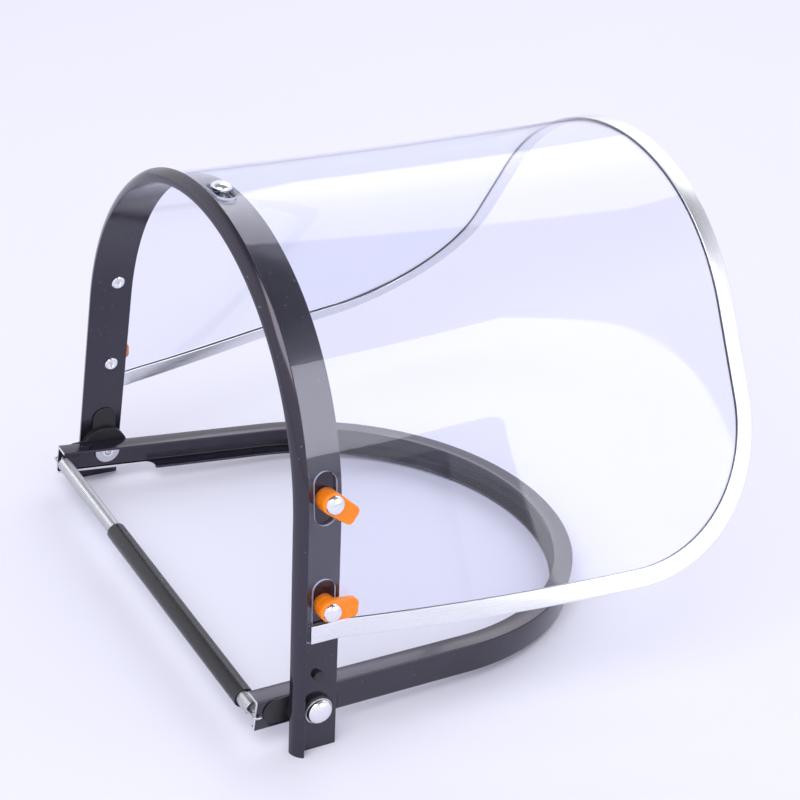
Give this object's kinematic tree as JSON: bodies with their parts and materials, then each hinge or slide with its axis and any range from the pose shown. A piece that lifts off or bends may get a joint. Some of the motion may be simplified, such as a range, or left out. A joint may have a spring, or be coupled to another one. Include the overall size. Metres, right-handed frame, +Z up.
{
  "type": "face shield",
  "caption": "Face shield for a hard hat: clear visor with a metal edge channel on an upright hinged arch, and a channel-section brim loop with a tension spring behind.",
  "frame": {"origin": "bottom centre of the whole part, on the surface it stands on", "axes": "+Z up, -Y is the way the wearer looks, +X is the wearer's left; the pivot axis is parallel to X"},
  "size_m": [0.2664, 0.2238, 0.1931],
  "materials": {
    "black_paint_bracket": "gloss black paint",
    "black_paint_frame": "gloss black paint",
    "black_plastic": "satin black nylon",
    "polished_rivet": "polished nickel plate",
    "zinc_washer": "zinc plate",
    "spring_steel": "bright spring wire",
    "black_sleeve": "satin black tube",
    "clear_sheet": "clear",
    "bright_trim": "bright brushed",
    "orange_plastic": "gloss"
  },
  "bodies": {
    "helmet_bracket": {"brim_loop": "black_paint_bracket", "detent_plate_inner_right": "black_plastic", "detent_plate_inner_left": "black_plastic", "pivot_rivet_right": "polished_rivet", "pivot_rivet_left": "polished_rivet", "tail_washer_right": "zinc_washer", "tail_washer_left": "zinc_washer", "head_washer_right": "zinc_washer", "head_washer_left": "zinc_washer", "tension_spring": "spring_steel"},
    "visor_frame": {"visor_arch": "black_paint_frame", "detent_plate_outer_right": "black_plastic", "detent_plate_outer_left": "black_plastic", "pivot_spacer_right": "black_plastic", "pivot_spacer_left": "black_plastic", "visor_sheet": "clear_sheet", "edge_trim": "bright_trim", "crown_stud": "polished_rivet", "latch_rivet_right_upper": "polished_rivet", "latch_rivet_right_lower": "polished_rivet", "latch_rivet_left_upper": "polished_rivet", "latch_rivet_left_lower": "polished_rivet"},
    "sleeve": {"spring_sleeve": "black_sleeve"},
    "latch_right_upper": {"latch_right_upper": "orange_plastic"},
    "latch_right_lower": {"latch_right_lower": "orange_plastic"},
    "latch_left_upper": {"latch_left_upper": "orange_plastic"},
    "latch_left_lower": {"latch_left_lower": "orange_plastic"}
  },
  "joints": [
    {"name": "visor_pivot", "type": "hinge", "parent": "helmet_bracket", "child": "visor_frame", "pos_m": [0, 0.08583, 0.0178], "axis": [1, 0, 0], "range_deg": [-20, 70]},
    {"name": "sleeve_slide", "type": "slide", "parent": "helmet_bracket", "child": "sleeve", "axis": [1, 0, 0], "range_m": [-0.006, 0.06]},
    {"name": "latch_turn_right_upper", "type": "hinge", "parent": "visor_frame", "child": "latch_right_upper", "pos_m": [-0.09813, 0.08443, 0.1055], "axis": [-0.9813, 0, 0.1925], "range_deg": [-52, 128]},
    {"name": "latch_turn_right_lower", "type": "hinge", "parent": "visor_frame", "child": "latch_right_lower", "pos_m": [-0.10339, 0.08443, 0.06245], "axis": [-0.9935, 0, 0.1141], "range_deg": [-87, 93]},
    {"name": "latch_turn_left_upper", "type": "hinge", "parent": "visor_frame", "child": "latch_left_upper", "pos_m": [0.09813, 0.08443, 0.1055], "axis": [0.9813, 0, 0.1925], "range_deg": [-152, 28]},
    {"name": "latch_turn_left_lower", "type": "hinge", "parent": "visor_frame", "child": "latch_left_lower", "pos_m": [0.10339, 0.08443, 0.06245], "axis": [0.9935, 0, 0.1141], "range_deg": [-85, 95]}
  ]
}
